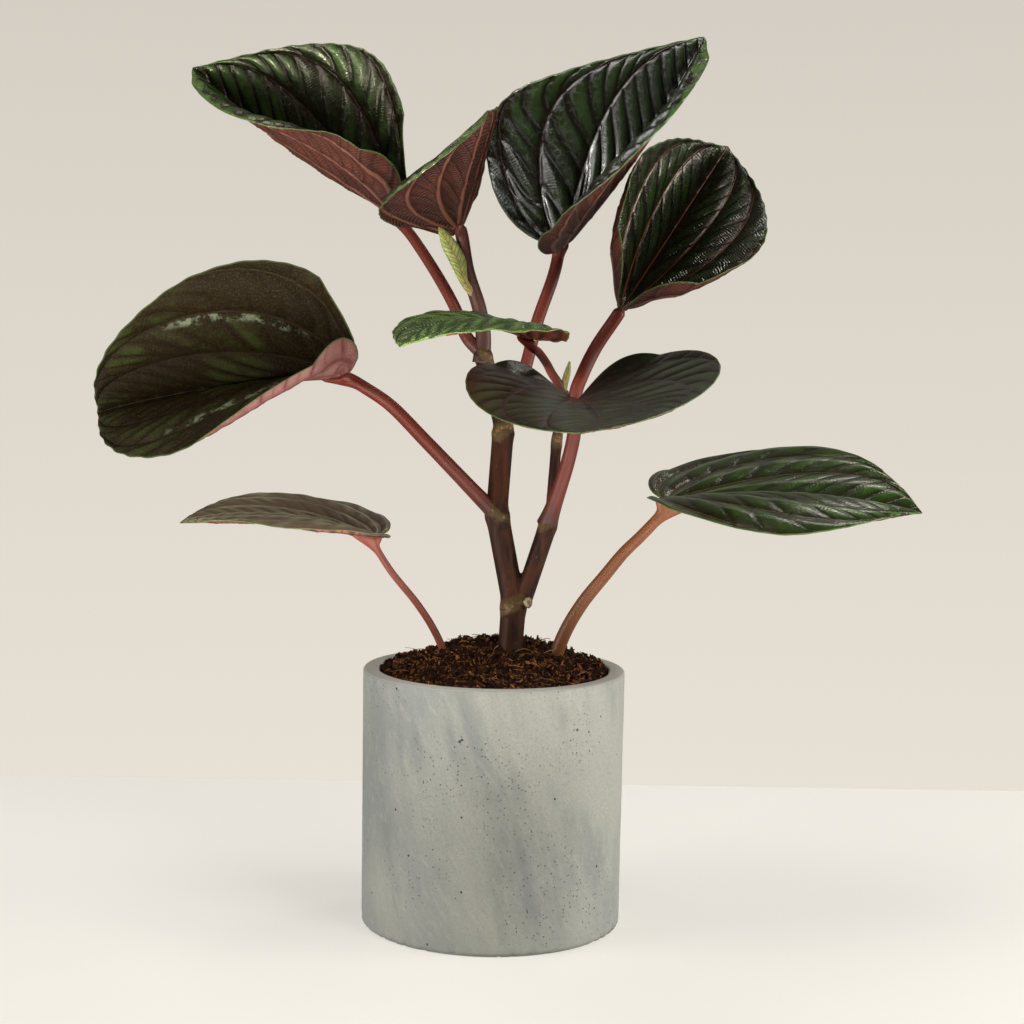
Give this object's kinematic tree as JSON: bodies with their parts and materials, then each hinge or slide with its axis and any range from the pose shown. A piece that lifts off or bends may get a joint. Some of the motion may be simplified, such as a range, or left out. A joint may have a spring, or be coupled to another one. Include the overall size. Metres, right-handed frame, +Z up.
{
  "type": "potted ripple peperomia",
  "caption": "Potted houseplant: round concrete pot of soil, forked jointed stem, and heart-shaped ribbed leaves on red stalks.",
  "frame": {"origin": "centre of the pot's flat underside", "axes": "+Z up along the pot's axis, +X to the right and +Y away from the viewer"},
  "size_m": [0.3766, 0.2205, 0.401],
  "materials": {
    "pot": "cast concrete, light warm grey, matt",
    "soil": "coarse brown coir potting mix",
    "stem": "dark maroon-brown, satin",
    "stalk": "brick red, satin",
    "dark_stalk": "dark brown, satin",
    "pale_stalk": "orange brown, satin",
    "leaf": "very dark green above, dusty maroon below, satin gloss",
    "light_leaf": "mid green above, dusty pink below, satin",
    "young_growth": "pale yellow-green with red veins"
  },
  "bodies": {
    "root": {"pot": "pot", "soil": "soil", "stem": "stem", "stalk_upper_left": "stalk", "stalk_top_centre": "dark_stalk", "stalk_upper_right": "stalk", "stalk_right": "stalk", "stalk_left": "stalk", "stalk_small_centre": "stalk", "stalk_front": "stalk", "stalk_low_left": "stalk", "stalk_low_right": "pale_stalk", "leaf_upper_left": "leaf", "leaf_top_centre": "leaf", "leaf_upper_right": "leaf", "leaf_right": "leaf", "leaf_left": "leaf", "leaf_small_centre": "light_leaf", "leaf_front": "leaf", "leaf_low_left": "leaf", "leaf_low_right": "leaf", "young_leaf": "young_growth", "bud": "young_growth"}
  },
  "joints": []
}
